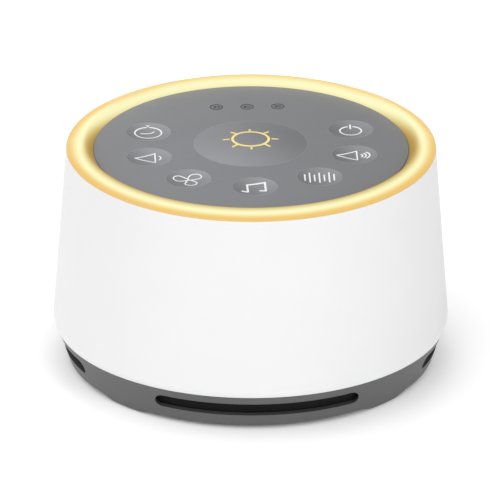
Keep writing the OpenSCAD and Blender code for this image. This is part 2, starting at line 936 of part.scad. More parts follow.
// a half roll between the cone and the frame, bulging towards the floor
module cone_surround() {
    mid_r = cone_edge_r + 1 + (speaker_open_r - cone_edge_r - 1) / 2;
    roll = (speaker_open_r - cone_edge_r - 1) / 2;
    top_z = cone_edge_z;
    color(near_black)
        rotate_extrude()
            polygon(concat(
                [[cone_edge_r, top_z], [cone_edge_r, top_z - paper_t]],
                [for (i = [0 : roll_steps])
                    let (a = 180 + 180 * i / roll_steps)
                    [mid_r + roll * cos(a), top_z - paper_t + roll * sin(a)]],
                [
                    [surround_out_r - flange_gap, top_z - paper_t],
                    [surround_out_r - flange_gap, top_z]
                ],
                [for (i = [roll_steps : -1 : 0])
                    let (a = 180 + 180 * i / roll_steps)
                    [mid_r + (roll - paper_t) * cos(a), top_z + (roll - paper_t) * sin(a)]]
            ));
}

spider_steps = 18;

module cone_spider() {
    wave = [for (i = [0 : spider_steps])
        let (s = i / spider_steps)
        [
            coil_r + coil_t + (spider_out_r - coil_r - coil_t) * s,
            spider_z + spider_rise * sin(360 * spider_waves * s)
        ]];
    color("goldenrod")
        rotate_extrude()
            polygon(concat(
                wave,
                [for (i = [spider_steps : -1 : 0]) [wave[i][0], wave[i][1] + paper_t]]
            ));
}

module speaker_terminals() {
    color("#8a6a35")
        translate([0, terminal_y, 0]) {
            block(4 * terminal_x, terminal_t, flange_z + flange_t, terminal_h);
            for (x = [-terminal_x, terminal_x])
                translate([x, tab_y, 0])
                    block(tab_w, tab_l, flange_z + flange_t, tab_h);
        }
}

module speaker_screws() {
    color(steel)
        at_angles(speaker_screw_circle, speaker_screw_angles)
            union() {
                rod(speaker_head_r, flange_z + flange_t, speaker_head_h);
                rod(speaker_screw_r, baffle_z, flange_z + flange_t - baffle_z + eps);
            }
}

// a lead rises from its terminal and bends over the board's front edge to a pad on top
lead_steps = 16;
lead_sides = 8;
lead_arch = 3.2;
lead_pad_in = 2.6;
lead_spread = 4;
lead_start_z = flange_z + flange_t + tab_h;
lead_rise = main_board_top_z - lead_start_z + lead_arch;
lead_pad_y = main_board_y + lead_pad_in;
lead_pad_x = terminal_x + lead_spread;

function lead_point(s) =
    let (
        start_y = terminal_y + tab_y,
        drop = main_board_top_z - lead_start_z
    )
    [
        terminal_x + (lead_pad_x - terminal_x) * (1 - cos(180 * s)) / 2,
        start_y + (lead_pad_y - start_y) * (1 - cos(180 * s)) / 2,
        lead_start_z + drop * s + (lead_rise - drop / 2) * sin(180 * s)
    ];
function unit(v) = v / norm(v);
function lead_direction(s) =
    s <= 0 ? [0, 0, 1]
    : s >= 1 ? [0, 0, -1]
    : unit(lead_point(min(1, s + 0.02)) - lead_point(max(0, s - 0.02)));

module speaker_lead(side) {
    rings = [for (i = [0 : lead_steps])
        let (
            s = i / lead_steps,
            centre = lead_point(s),
            along = lead_direction(s),
            across = unit(cross([0.7, -0.7, 0], along)),
            third = cross(along, across)
        )
        for (k = [0 : lead_sides - 1])
            let (a = 360 * k / lead_sides)
            centre + lead_r * (cos(a) * across + sin(a) * third)];
    last = lead_steps * lead_sides;
    faces = concat(
        [[for (k = [lead_sides - 1 : -1 : 0]) k]],
        [for (i = [0 : lead_steps - 1], k = [0 : lead_sides - 1])
            let (n = (k + 1) % lead_sides, base = i * lead_sides)
            [base + k, base + n, base + n + lead_sides]],
        [for (i = [0 : lead_steps - 1], k = [0 : lead_sides - 1])
            let (n = (k + 1) % lead_sides, base = i * lead_sides)
            [base + k, base + n + lead_sides, base + k + lead_sides]],
        [[for (k = [0 : lead_sides - 1]) last + k]]
    );
    if (side < 0) mirror([1, 0, 0]) polyhedron(points = rings, faces = faces);
    else polyhedron(points = rings, faces = faces);
}

module speaker_lead_red() { color("red") speaker_lead(1); }
module speaker_lead_black() { color("black") speaker_lead(-1); }

// ---- main board --------------------------------------------------------------------------

module main_board() {
    color(board_green)
        difference() {
            translate([-main_board_w / 2, main_board_y, main_board_z])
                cube([main_board_w, main_board_d, board_t]);
            for (x = [-board_post_x, board_post_x], y = board_post_ys)
                translate([x, y, 0])
                    rod(small_screw_r + 0.2, main_board_z - eps, board_t + 2 * eps);
        }
}

module main_board_screws() {
    color(steel)
        for (x = [-board_post_x, board_post_x], y = board_post_ys)
            translate([x, y, 0]) {
                rod(small_head_r, main_board_top_z, small_head_h);
                rod(small_screw_r, main_board_z - main_board_lift + 0.8,
                    main_board_lift - 0.8 + board_t + eps);
            }
}

board_mid_y = (main_board_y + main_board_rear_y) / 2;
amplifier_x = -board_post_x;
amplifier_w = 4.4;
amplifier_d = 5.6;
amplifier_h = 1.5;
processor_w = 5;
processor_d = 4;
processor_h = 1.2;
processor_in = 5;
capacitor_x = 12.2;
capacitor_r = 2;
capacitor_h = 6;
capacitor_gap = 0.4;

module main_chips() {
    color("#202022") {
        translate([amplifier_x, board_mid_y, 0])
            block(amplifier_w, amplifier_d, main_board_top_z, amplifier_h);
        translate([0, main_board_rear_y - processor_in, 0])
            block(processor_w, processor_d, main_board_top_z, processor_h);
    }
}

module capacitors() {
    color("#2f3a66")
        for (side = [-1, 1])
            translate([capacitor_x, board_mid_y + side * (capacitor_r + capacitor_gap / 2), 0])
                rod(capacitor_r, main_board_top_z, capacitor_h);
}

// a flat plug shape with round ends, laid along z from 0
module inlet_outline(w, h, length) {
    end_x = (w - h) / 2;
    translate([-end_x, -h / 2, 0]) cube([2 * end_x, h, length]);
    for (x = [-end_x, end_x])
        translate([x, 0, 0]) cylinder(r = h / 2, h = length);
}

module power_inlet() {
    shell_t = 0.3;
    tongue_h = 0.7;
    tongue_w = inlet_w - 2.3;
    color(steel)
        translate([port_x, port_face_y, inlet_mid_z])
            rotate([90, 0, 0]) {
                difference() {
                    inlet_outline(inlet_w, inlet_h, inlet_l);
                    translate([0, 0, -eps])
                        inlet_outline(inlet_w - 2 * shell_t, inlet_h - 2 * shell_t, inlet_l - 1);
                }
                translate([-tongue_w / 2, -tongue_h / 2, 0.8])
                    cube([tongue_w, tongue_h, inlet_l - 1.2]);
            }
}

module phone_jack() {
    body_l = jack_bore_l - jack_nose_l + 1;
    color(near_black)
        translate([-port_x, 0, 0])
            difference() {
                union() {
                    translate([-jack_body_w / 2, port_face_y - jack_nose_l - body_l,
                        main_board_top_z])
                        cube([jack_body_w, body_l, jack_body_h]);
                    translate([0, port_face_y, jack_axis_z])
                        rotate([90, 0, 0])
                            cylinder(r = jack_nose_r, h = jack_nose_l + eps);
                }
                translate([0, port_face_y + eps, jack_axis_z])
                    rotate([90, 0, 0])
                        cylinder(r = jack_bore_r, h = jack_bore_l + eps);
            }
}

outer_shell();
light_ring();
reflector_tray();
top_panel();
key_light();
key_music();
key_fan();
key_noise();
key_volume_down();
key_volume_up();
key_timer();
key_power();
plunger_light();
plunger_music();
plunger_fan();
plunger_noise();
plunger_volume_down();
plunger_volume_up();
plunger_timer();
plunger_power();
switch_bodies();
timer_windows();
timer_lamps();
ring_lamps();
key_board();
key_board_screws();
key_board_connector();
ribbon_cable();
base_housing();
foot_pad_front_left();
foot_pad_front_right();
foot_pad_rear_left();
foot_pad_rear_right();
base_screws();
slot_cloth();
speaker_baffle();
speaker_gasket();
speaker_frame();
speaker_top_plate();
speaker_magnet();
speaker_yoke();
speaker_cone();
dust_cap();
voice_coil();
cone_surround();
cone_spider();
speaker_terminals();
speaker_screws();
speaker_lead_red();
speaker_lead_black();
main_board();
main_chips();
capacitors();
main_board_connector();
power_inlet();
phone_jack();
main_board_screws();
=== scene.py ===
"""Looks of the white noise sound machine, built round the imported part."""

import math

import bpy
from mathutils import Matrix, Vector
from mathutils.bvhtree import BVHTree


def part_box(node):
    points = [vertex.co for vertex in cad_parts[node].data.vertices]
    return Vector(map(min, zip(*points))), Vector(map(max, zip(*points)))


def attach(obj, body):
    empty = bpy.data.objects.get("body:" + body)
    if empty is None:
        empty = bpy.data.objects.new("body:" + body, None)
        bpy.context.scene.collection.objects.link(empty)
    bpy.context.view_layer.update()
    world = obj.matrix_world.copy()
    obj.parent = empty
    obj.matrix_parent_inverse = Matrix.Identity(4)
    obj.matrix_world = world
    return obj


MM = 0.001

# camera, as the photograph shows the object
CAMERA_DISTANCE = 3.0
CAMERA_AZIMUTH = -2.3
CAMERA_ELEVATION = 24.0
CAMERA_ROLL = 0.17
CAMERA_LENS = 790.0
SENSOR_WIDTH = 36.0
TARGET_RIGHT = -0.23 * MM
TARGET_HEIGHT = 30.8 * MM
CLIP_NEAR = 0.1
CLIP_FAR = 50.0

# light and surroundings
WORLD_FILL_LEFT = 1.49
WORLD_FILL_RIGHT = 0.20
WORLD_REAR_SHARE = 0.4
WORLD_REAR_REACH = 0.7
FLOOR_GLOW = 0.29
# the floor glows evenly, except near the base: no glow within FLOOR_GLOW_STARTS of the axis, rising to full
# by FLOOR_GLOW_FULL, which paints a dark contact shadow round the base
FLOOR_GLOW_STARTS = 46.5 * MM
FLOOR_GLOW_FULL = 51.5 * MM
LEFT_LIGHT_POWER = 0.17
LEFT_LIGHT_PLACE = (-0.75, -0.35, 0.36)
LEFT_LIGHT_SIZE = 0.45
FRONT_LIGHT_POWER = 0.38
FRONT_LIGHT_PLACE = (0.0, -1.10, 0.50)
FRONT_LIGHT_SIZE = 0.90
RIGHT_LIGHT_POWER = 4.1
RIGHT_LIGHT_PLACE = (0.64, -0.86, 0.40)
RIGHT_LIGHT_SIZE = 0.60
REAR_LIGHT_POWER = 1.9
REAR_LIGHT_PLACE = (0.0, 0.60, 0.80)
REAR_LIGHT_SIZE = 0.60
LIGHT_AIM = (0.0, 0.0, 0.04)
WHITE = (1.0, 1.0, 1.0, 1.0)
FLOOR_SIZE = 6.0

# printed symbols
PRINT_RISE = 0.05 * MM
PRINT_SINK = 0.05 * MM
PRINT_STEP = 0.002 * MM
STROKE_STATIONS_PER_MM = 3.0
CAP_STATIONS = 4
CAP_SETBACK = 0.15
SAME_POINT = 1e-6
RAY_START = 0.01

# plain finishes: waves in a metre, spread of the roughness and depth of the grain
CLOUD_WAVES = 70.0
GLOSS_WAVES = 240.0
MARK_WAVES = 900.0
BRICK_WAVES = 260.0
TRACE_WIDTH = 0.06
GLOSS_SPREAD = 0.04
GRAIN_DEPTH = 0.02 * MM
# faces count as upright when the height of their normal is below this
UPRIGHT_LIMIT = 0.2

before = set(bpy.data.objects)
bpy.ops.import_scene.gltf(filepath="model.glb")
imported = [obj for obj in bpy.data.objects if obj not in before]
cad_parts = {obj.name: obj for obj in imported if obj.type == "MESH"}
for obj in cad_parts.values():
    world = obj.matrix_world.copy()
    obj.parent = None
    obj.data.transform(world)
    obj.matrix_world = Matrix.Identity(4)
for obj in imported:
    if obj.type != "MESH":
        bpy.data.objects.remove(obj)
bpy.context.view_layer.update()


# ---- materials ---------------------------------------------------------------------------


class Nodes:
    """A node tree and the steps that the looks are built from."""

    def __init__(self, tree):
        self.tree = tree

    def node(self, kind):
        return self.tree.nodes.new(kind)

    def link(self, source, target):
        self.tree.links.new(source, target)

    def mapped(self, value, source, target, smooth=False):
        """The value carried from the source range to the target range."""
        spread = self.node("ShaderNodeMapRange")
        if smooth:
            spread.interpolation_type = "SMOOTHSTEP"
        for name, end in zip(("From Min", "From Max", "To Min", "To Max"), (*source, *target)):
            spread.inputs[name].default_value = end
        self.link(value, spread.inputs["Value"])
        return spread.outputs["Result"]

    def maths(self, operation, *values):
        """One sum on sockets and plain numbers."""
        step = self.node("ShaderNodeMath")
        step.operation = operation
        for socket, value in zip(step.inputs, values):
            if isinstance(value, float):
                socket.default_value = value
            else:
                self.link(value, socket)
        return step.outputs["Value"]

    def parts(self, vector):
        """The X, Y and Z of a vector."""
        split = self.node("ShaderNodeSeparateXYZ")
        self.link(vector, split.inputs["Vector"])
        return split.outputs

    def length(self, vector):
        measure = self.node("ShaderNodeVectorMath")
        measure.operation = "LENGTH"
        self.link(vector, measure.inputs[0])
        return measure.outputs["Value"]


class Finish(Nodes):
    """One procedural material: a Principled surface and the nodes that drive it."""

    def __init__(self, name):
        self.material = bpy.data.materials.new(name)
        self.material.use_nodes = True
        super().__init__(self.material.node_tree)
        self.surface = self.tree.nodes["Principled BSDF"]
        self.place = self.node("ShaderNodeTexCoord").outputs["Object"]

    def set(self, name, value):
        self.surface.inputs[name].default_value = value

    def noise(self, per_metre, detail=3.0, stretch=(1.0, 1.0, 1.0)):
        """Soft noise with that many waves in a metre."""
        mapping = self.node("ShaderNodeMapping")
        mapping.inputs["Scale"].default_value = stretch
        self.link(self.place, mapping.inputs["Vector"])
        noise = self.node("ShaderNodeTexNoise")
        noise.inputs["Scale"].default_value = per_metre
        noise.inputs["Detail"].default_value = detail
        self.link(mapping.outputs["Vector"], noise.inputs["Vector"])
        return noise.outputs["Fac"]

    def bands(self, per_metre, axis="Z"):
        """Even bands across one axis."""
        wave = self.node("ShaderNodeTexWave")
        wave.wave_type = "BANDS"
        wave.bands_direction = axis
        wave.inputs["Scale"].default_value = per_metre
        self.link(self.place, wave.inputs["Vector"])
        return wave.outputs["Fac"]

    def between(self, value, low, high):
        """The value, 0 to 1, carried to low to high."""
        return self.mapped(value, (0.0, 1.0), (low, high))

    def ramp(self, value, stops):
        """A colour ramp with (place, colour) stops."""
        ramp = self.node("ShaderNodeValToRGB")
        elements = ramp.color_ramp.elements
        while len(elements) < len(stops):
            elements.new(0.5)
        for element, (at, colour) in zip(elements, stops):
            element.position = at
            element.color = (*colour, 1.0)
        self.link(value, ramp.inputs["Fac"])
        return ramp.outputs["Color"]

    def painted_side_shading(self, tone, middle_x, reach, left, right):
        """Painted shading: the tone made lighter or darker towards the left and right of a middle line, as
        light falling from one side would make it.
        """
        ends = (middle_x - reach, middle_x + reach)
        share = self.mapped(self.parts(self.place)["X"], ends, (left, right), smooth=True)
        scaled = self.node("ShaderNodeVectorMath")
        scaled.operation = "SCALE"
        self.link(tone, scaled.inputs[0])
        self.link(share, scaled.inputs["Scale"])
        return scaled.outputs["Vector"]

    def lit_edges(self, colour):
        """Upright faces glow faintly, so that narrow gaps don't read as black lines."""
        normal = self.node("ShaderNodeNewGeometry").outputs["True Normal"]
        steep = self.maths("ABSOLUTE", self.parts(normal)["Z"])
        glow = self.mapped(steep, (UPRIGHT_LIMIT, 0.0), (0.0, 1.0))
        self.link(glow, self.surface.inputs["Emission Strength"])
        self.set("Emission Color", (*colour, 1.0))

    def bump(self, height, strength, depth):
        """Bump from a height value, depth in metres."""
        bump = self.node("ShaderNodeBump")
        bump.inputs["Strength"].default_value = strength
        bump.inputs["Distance"].default_value = depth
        self.link(height, bump.inputs["Height"])
        self.link(bump.outputs["Normal"], self.surface.inputs["Normal"])


def shade(colour, factor):
    return tuple(min(1.0, c * factor) for c in colour)


def moulded(
    name, colour, roughness, mottle=0.03, grain=2600.0, relief=0.25, specular=0.5, painted_shade=None
):
    """Moulded plastic or rubber: faint mottling, uneven gloss and a fine surface grain."""
    finish = Finish(name)
    cloudy = finish.noise(CLOUD_WAVES, detail=4.0)
    dark, light = shade(colour, 1.0 - mottle), shade(colour, 1.0 + mottle)
    tone = finish.ramp(cloudy, [(0.3, dark), (0.7, light)])
    # painted shading: the tone lighter on one side and darker on the other, standing in for light that falls
    # from that side
    if painted_shade:
        tone = finish.painted_side_shading(tone, *painted_shade)
    finish.link(tone, finish.surface.inputs["Base Color"])
    gloss = finish.between(
        finish.noise(GLOSS_WAVES), roughness - GLOSS_SPREAD, roughness + GLOSS_SPREAD
    )
    finish.link(gloss, finish.surface.inputs["Roughness"])
    finish.set("Specular IOR Level", specular)
    finish.bump(finish.noise(grain, detail=2.0), relief, GRAIN_DEPTH)
    return finish


def metal(name, colour, roughness, brushed=(1.0, 1.0, 12.0)):
    """Bare metal with fine drawn marks."""
    finish = Finish(name)
    marks = finish.noise(MARK_WAVES, stretch=brushed)
    tone = finish.ramp(marks, [(0.3, shade(colour, 0.85)), (0.7, colour)])
    finish.link(tone, finish.surface.inputs["Base Color"])
    gloss = finish.between(marks, roughness - 0.05, roughness + 0.08)
    finish.link(gloss, finish.surface.inputs["Roughness"])
    finish.set("Metallic", 1.0)
    finish.bump(marks, 0.2, 0.01 * MM)
    return finish


def board(name, mask, copper_mask):
    """A circuit board: lacquer over traces that run in steps."""
    finish = Finish(name)
    brick = finish.node("ShaderNodeTexBrick")
    brick.inputs["Scale"].default_value = BRICK_WAVES
    brick.inputs["Mortar Size"].default_value = TRACE_WIDTH
    brick.inputs["Color1"].default_value = (*mask, 1.0)
    brick.inputs["Color2"].default_value = (*shade(mask, 0.85), 1.0)
    brick.inputs["Mortar"].default_value = (*copper_mask, 1.0)
    finish.link(finish.place, brick.inputs["Vector"])
    finish.link(brick.outputs["Color"], finish.surface.inputs["Base Color"])
    gloss = finish.between(finish.noise(300.0), 0.25, 0.4)
    finish.link(gloss, finish.surface.inputs["Roughness"])
    finish.bump(brick.outputs["Fac"], 0.3, GRAIN_DEPTH)
    return finish


def banded(name, dark, light, per_metre, axis, roughness, metallic=0.0):
    """Windings, ribbon cable and other striped pieces."""
    finish = Finish(name)
    bands = finish.bands(per_metre, axis)
    tone = finish.ramp(bands, [(0.15, dark), (0.6, light)])
    finish.link(tone, finish.surface.inputs["Base Color"])
    gloss = finish.between(finish.noise(500.0), roughness - 0.05, roughness + 0.05)
    finish.link(gloss, finish.surface.inputs["Roughness"])
    finish.set("Metallic", metallic)
    finish.bump(bands, 0.4, 0.05 * MM)
    return finish


def woven(name, colour, threads_per_metre):
    """Cloth: two crossed sets of threads."""
    finish = Finish(name)
    across = finish.bands(threads_per_metre, "DIAGONAL")
    upright = finish.bands(threads_per_metre, "Z")
    crossed = finish.maths("MULTIPLY", across, upright)
    tone = finish.ramp(crossed, [(0.0, shade(colour, 0.5)), (0.8, colour)])
    finish.link(tone, finish.surface.inputs["Base Color"])
    finish.set("Roughness", 0.9)
    finish.set("Specular IOR Level", 0.2)
    finish.bump(crossed, 0.5, 0.08 * MM)
    return finish


# the lit band of the ring: its place in mm from the axis, at the front and at the rear, and
# between which values of y / r it moves from the one to the other; this move paints light and
# shade, so that the inner slope reads lit at the rear and shaded at the sides and the front
BAND_FRONT = 47.45
BAND_REAR = 44.1
BAND_TURN = (-0.35, 0.75)
# glow across the band: (mm from its middle, linear colour); the dim gold stops nearest the axis are painted
# shade on the inner slope
BAND_REACH = (-4.0, 3.0)
BAND_GLOW_AND_PAINTED_SHADE = [
    (-4.0, (0.34, 0.21, 0.035)),
    (-2.8, (0.40, 0.25, 0.035)),
    (-2.3, (0.46, 0.29, 0.055)),
    (-1.8, (0.58, 0.41, 0.12)),
    (-1.3, (0.73, 0.60, 0.24)),
    (-0.8, (0.88, 0.80, 0.41)),
    (-0.3, (0.97, 0.93, 0.54)),
    (0.2, (0.98, 0.95, 0.56)),
    (0.7, (0.94, 0.83, 0.41)),
    (1.2, (0.90, 0.67, 0.25)),
    (1.7, (0.86, 0.57, 0.165)),
    (2.4, (0.84, 0.54, 0.145)),
]
# how fast the band fades outwards: (y / r, share of the distance from its middle that counts)
BAND_FADE = [(-0.35, 1.0), (0.10, 0.42), (0.40, 0.42), (0.80, 1.0)]
RING_GLOW = 0.95
RING_BASE = (0.045, 0.036, 0.020)
RING_GLOSS = (0.38, 0.46)


def glowing_ring(name):
    """The lit diffuser glows; its bright band is painted nearer the axis towards the rear, and its dim inner
    edge is painted shade.
    """
    finish = Finish(name)

    place = finish.parts(finish.place)
    flat = finish.node("ShaderNodeCombineXYZ")
    finish.link(place["X"], flat.inputs["X"])
    finish.link(place["Y"], flat.inputs["Y"])
    radius = finish.length(flat.outputs["Vector"])
    rearward = finish.maths("DIVIDE", place["Y"], radius)
    middle = finish.mapped(rearward, BAND_TURN, (BAND_FRONT, BAND_REAR), smooth=True)
    offset = finish.maths("SUBTRACT", finish.maths("DIVIDE", radius, MM), middle)
    turned_share = finish.maths("MULTIPLY_ADD", rearward, 0.5, 0.5)
    fade_stops = [((y + 1) / 2, (share, share, share)) for y, share in BAND_FADE]
    fade = finish.ramp(turned_share, fade_stops)
    outward = finish.maths("MULTIPLY", finish.maths("MAXIMUM", offset, 0.0), fade)
    offset = finish.maths("ADD", finish.maths("MINIMUM", offset, 0.0), outward)
    across = finish.mapped(offset, BAND_REACH, (0.0, 1.0))
    span = BAND_REACH[1] - BAND_REACH[0]
    glow = finish.ramp(across, [((u - BAND_REACH[0]) / span, c) for u, c in BAND_GLOW_AND_PAINTED_SHADE])
    finish.link(glow, finish.surface.inputs["Emission Color"])
    finish.set("Emission Strength", RING_GLOW)
    finish.set("Base Color", (*RING_BASE, 1.0))
    finish.set("Specular IOR Level", 0.3)
    gloss = finish.between(finish.noise(300.0), *RING_GLOSS)
    finish.link(gloss, finish.surface.inputs["Roughness"])
    finish.bump(finish.noise(1800.0, detail=2.0), 0.15, 0.01 * MM)
    return finish


def printed(name, colour, glow):
    """Ink of the symbols: a dense flat colour with a faint grain, and a faint glow that is painted light."""
    finish = moulded(name, colour, 0.5, mottle=0.02, grain=5200.0, relief=0.1, specular=0.2)
    finish.set("Emission Color", (*colour, 1.0))
    finish.set("Emission Strength", glow)
    return finish


PANEL_COLOUR = (0.208, 0.211, 0.226)
PANEL_EDGE_GLOW = (0.20, 0.20, 0.205)
# painted shading over the panel, as factors on its tone at the left and at the right: lighter at the left
# and darker at the right, as light from the left would fall
PANEL_PAINTED_SHADE = (1.10, 0.87)
PANEL_REACH = 43.0 * MM
# painted shading across each key's face, as factors at its left and right: the domed light key lighter at
# its left, the dished small keys darker at their left, as light from the left would fall
LIGHT_KEY_PAINTED_SHADE = (1.30, 0.86)
SMALL_KEY_PAINTED_SHADE = (0.84, 1.32)

white_plastic = moulded(
    "white_plastic", (0.73, 0.73, 0.735), 0.38, mottle=0.006, grain=3000.0, relief=0.12
)
tray_white = moulded("tray_white", (0.85, 0.85, 0.83), 0.6)
panel_painted_shade_args = (0.0, PANEL_REACH, *PANEL_PAINTED_SHADE)
panel_grey = moulded("panel_grey", PANEL_COLOUR, 0.42, mottle=0.02, relief=0.12, painted_shade=panel_painted_shade_args)
panel_grey.lit_edges(PANEL_EDGE_GLOW)
window_clear = moulded("window_clear", shade(PANEL_COLOUR, 0.93), 0.30, mottle=0.02)
window_clear.lit_edges(PANEL_EDGE_GLOW)
base_grey = moulded("base_grey", (0.087, 0.087, 0.089), 0.45, mottle=0.04)
rubber_black = moulded("rubber_black", (0.022, 0.022, 0.024), 0.75, mottle=0.1, grain=1500.0)
black_plastic = moulded("black_plastic", (0.020, 0.020, 0.022), 0.42, mottle=0.1)
paper_black = moulded("paper_black", (0.028, 0.027, 0.027), 0.85, mottle=0.2, grain=900.0, relief=0.6)
ferrite = moulded("ferrite", (0.045, 0.045, 0.050), 0.6, mottle=0.25, grain=1300.0, relief=0.5)
chip_black = moulded("chip_black", (0.018, 0.018, 0.020), 0.5, mottle=0.15, grain=2400.0)
lamp_yellow = moulded("lamp_yellow", (0.82, 0.66, 0.16), 0.35, mottle=0.08)
can_blue = moulded("can_blue", (0.035, 0.075, 0.24), 0.3, mottle=0.06)
connector_ivory = moulded("connector_ivory", (0.72, 0.68, 0.54), 0.5)
lead_red = moulded("lead_red", (0.52, 0.025, 0.02), 0.4, mottle=0.05)
lead_black = moulded("lead_black", (0.018, 0.018, 0.018), 0.4, mottle=0.1)
terminal_board = moulded("terminal_board", (0.30, 0.19, 0.075), 0.6, mottle=0.12)
steel = metal("steel", (0.62, 0.62, 0.63), 0.32)
copper = banded("copper", (0.45, 0.17, 0.07), (0.85, 0.42, 0.22), 2200.0, "Z", 0.3, metallic=1.0)
ribbon_grey = banded("ribbon_grey", (0.35, 0.35, 0.36), (0.58, 0.58, 0.60), 260.0, "X", 0.5)
board_green = board("board_green", (0.012, 0.115, 0.045), (0.035, 0.19, 0.08))
cloth_black = woven("cloth_black", (0.012, 0.012, 0.013), 700.0)
spider_cloth = woven("spider_cloth", (0.50, 0.32, 0.10), 900.0)
ring_diffuser = glowing_ring("ring_diffuser")
# the white and yellow inks glow faintly: painted light that makes them read brighter
white_print = printed("white_print", (0.86, 0.86, 0.87), 0.12)
sun_print = printed("sun_print", (0.93, 0.77, 0.26), 0.12)
dark_print = printed("dark_print", (0.042, 0.042, 0.047), 0.0)

FINISHES = {
    "white_plastic": white_plastic,
    "ring_diffuser": ring_diffuser,
    "tray_white": tray_white,
    "panel_grey": panel_grey,
    "window_clear": window_clear,
    "base_grey": base_grey,
    "rubber_black": rubber_black,
    "black_plastic": black_plastic,
    "cloth_black": cloth_black,
    "paper_black": paper_black,
    "spider_cloth": spider_cloth,
    "steel": steel,
    "ferrite": ferrite,
    "copper": copper,
    "board_green": board_green,
    "chip_black": chip_black,
    "lamp_yellow": lamp_yellow,
    "can_blue": can_blue,
    "connector_ivory": connector_ivory,
    "ribbon_grey": ribbon_grey,
    "lead_red": lead_red,
    "lead_black": lead_black,
    "terminal_board": terminal_board,
}


def key_finish(node):
    """The finish of one key: painted shading across its domed or dished face, on top of the panel's painted
    shading at the key's place.
    """
    low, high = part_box(node)
    middle_x = (low.x + high.x) / 2
    across = (middle_x + PANEL_REACH) / (2 * PANEL_REACH)
    eased = across * across * (3 - 2 * across)
    panel_painted_shade_here = PANEL_PAINTED_SHADE[0] + (PANEL_PAINTED_SHADE[1] - PANEL_PAINTED_SHADE[0]) * eased
    left, right = LIGHT_KEY_PAINTED_SHADE if node == "key_light" else SMALL_KEY_PAINTED_SHADE
    finish = moulded(
        f"key_grey_{node}",
        shade(PANEL_COLOUR, panel_painted_shade_here),
        0.40,
        mottle=0.02,
        relief=0.12,
        painted_shade=(middle_x, (high.x - low.x) / 2, left, right),
    )
    finish.lit_edges(PANEL_EDGE_GLOW)
    return finish


for cad_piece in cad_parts.values():
    for material_slot in cad_piece.material_slots:
        slot_name = material_slot.material.name.split(".")[0]
        if slot_name == "key_grey":
            material_slot.material = key_finish(cad_piece.name).material
        else:
            material_slot.material = FINISHES[slot_name].material


# ---- strokes -----------------------------------------------------------------------------


def line(*points):
    """A path through the points, in straight runs."""
    return [Vector(p) for p in points]


def arc(centre, radius, start, end, steps=40):
    """Part of a circle, angles in degrees and 0 at +X."""
    path = []
    for i in range(steps + 1):
        a = math.radians(start + (end - start) * i / steps)
        path.append(Vector((centre[0] + radius * math.cos(a), centre[1] + radius * math.sin(a))))
    return path


def spline(points, closed=False, steps=8):
    """A smooth path through the points."""
    count = len(points)
    path = []
    spans = count if closed else count - 1
    for i in range(spans):
        before = Vector(points[i - 1] if closed or i > 0 else points[0])
        here = Vector(points[i])
        there = Vector(points[(i + 1) % count])
        after = Vector(points[(i + 2) % count] if closed or i + 2 < count else points[-1])
        for k in range(steps):
            t = k / steps
            path.append(
                0.5
                * (
                    2 * here
                    + (there - before) * t
                    + (2 * before - 5 * here + 4 * there - after) * t * t
                    + (3 * here - before - 3 * there + after) * t * t * t
                )
            )
    path.append(Vector(points[0] if closed else points[-1]))
    return path


def turned(path, angle):
    """The path turned about its origin, in degrees."""
    a = math.radians(angle)
    cos, sin = math.cos(a), math.sin(a)
    return [Vector((p.x * cos - p.y * sin, p.x * sin + p.y * cos)) for p in path]


def resampled(path):
    """The path with stations close enough to follow a curved surface."""
    stations = [path[0]]
    for start, end in zip(path, path[1:]):
        parts = max(1, math.ceil((end - start).length * STROKE_STATIONS_PER_MM))
        for k in range(1, parts + 1):
            stations.append(start.lerp(end, k / parts))
    return stations


def stroke_sections(path, width):
    """(left, right) points along a stroke with round ends."""
    stations = resampled(path)
    closed = (stations[0] - stations[-1]).length < SAME_POINT
    half = width / 2
    sections = []
    last = len(stations) - 1
    for i, here in enumerate(stations):
        before = stations[i - 1] if i > 0 else (stations[-2] if closed else here)
        after = stations[i + 1] if i < last else (stations[1] if closed else here)
        along = (after - before).normalized()
        across = Vector((-along.y, along.x))
        if not closed and i == 0:
            for k in range(CAP_STATIONS, 0, -1):
                a = 0.5 * math.pi * (k - CAP_SETBACK) / CAP_STATIONS
                middle = here - along * half * math.sin(a)
                sections.append((middle + across * half * math.cos(a), middle - across * half * math.cos(a)))
        sections.append((here + across * half, here - across * half))
        if not closed and i == last:
            for k in range(1, CAP_STATIONS + 1):
                a = 0.5 * math.pi * (k - CAP_SETBACK) / CAP_STATIONS
                middle = here + along * half * math.sin(a)
                sections.append((middle + across * half * math.cos(a), middle - across * half * math.cos(a)))
    return sections, closed


class Surface:
    """The top of one CAD node, found from above."""

    def __init__(self, node):
        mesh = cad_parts[node].data
        corners = [v.co.copy() for v in mesh.vertices]
        faces = [tuple(p.vertices) for p in mesh.polygons]
        self.tree = BVHTree.FromPolygons(corners, faces)
        self.low, self.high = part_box(node)
        self.middle = (self.low + self.high) / 2

    def height(self, x, y):
        start = Vector((x, y, self.high.z + RAY_START))
        hit = self.tree.ray_cast(start, Vector((0.0, 0.0, -1.0)))[0]
        return self.high.z if hit is None else hit.z


